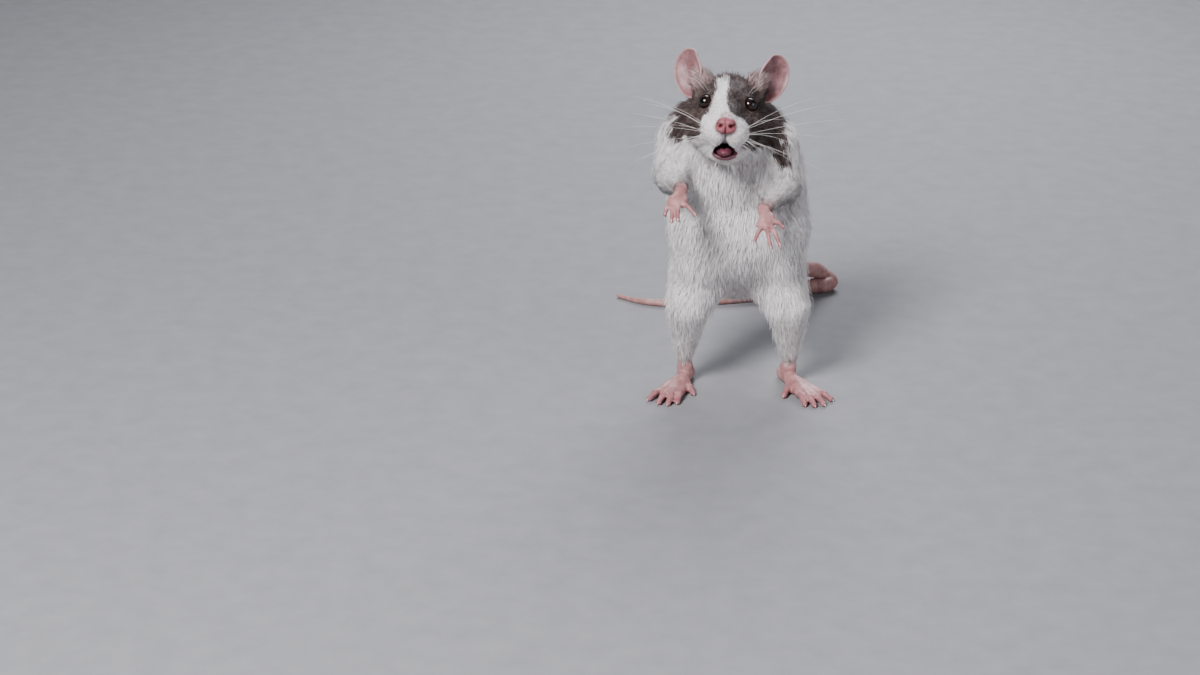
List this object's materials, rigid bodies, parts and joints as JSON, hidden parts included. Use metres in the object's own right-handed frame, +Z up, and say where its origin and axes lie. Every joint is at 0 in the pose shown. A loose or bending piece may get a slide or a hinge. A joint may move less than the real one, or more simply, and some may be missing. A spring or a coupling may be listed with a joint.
{
  "type": "rat",
  "caption": "Still life-size model of a hooded rat reared up on its hind feet, forepaws reaching forward, mouth a little open, long tail folded round on the floor behind.",
  "frame": {"origin": "on the floor, under the middle of the rat's box", "axes": "+Z up, the rat faces -Y, +X to its own left"},
  "size_m": [0.0986, 0.1508, 0.139],
  "materials": {
    "hood_fur": "short dense grey-brown fur",
    "white_fur": "short dense white fur",
    "ear_skin": "thin bare pink skin",
    "nose_skin": "moist bare pink skin",
    "paw_skin": "bare pink skin, finely ridged",
    "tail_skin": "ringed scaly pink skin",
    "tongue_skin": "wet pink skin",
    "eye": "wet, glossy black"
  },
  "bodies": {
    "root": {"head": "hood_fur", "neck": "hood_fur", "nose": "nose_skin", "jaw": "white_fur", "tongue": "tongue_skin", "chest": "white_fur", "belly": "white_fur", "ear_left": "ear_skin", "eye_left": "eye", "upper_arm_left": "white_fur", "forearm_left": "white_fur", "paw_left": "paw_skin", "thigh_left": "white_fur", "shank_left": "white_fur", "foot_left": "paw_skin", "ear_right": "ear_skin", "eye_right": "eye", "upper_arm_right": "white_fur", "forearm_right": "white_fur", "paw_right": "paw_skin", "thigh_right": "white_fur", "shank_right": "white_fur", "foot_right": "paw_skin", "tail_1": "tail_skin", "tail_2": "tail_skin", "tail_3": "tail_skin", "tail_4": "tail_skin"}
  },
  "joints": []
}
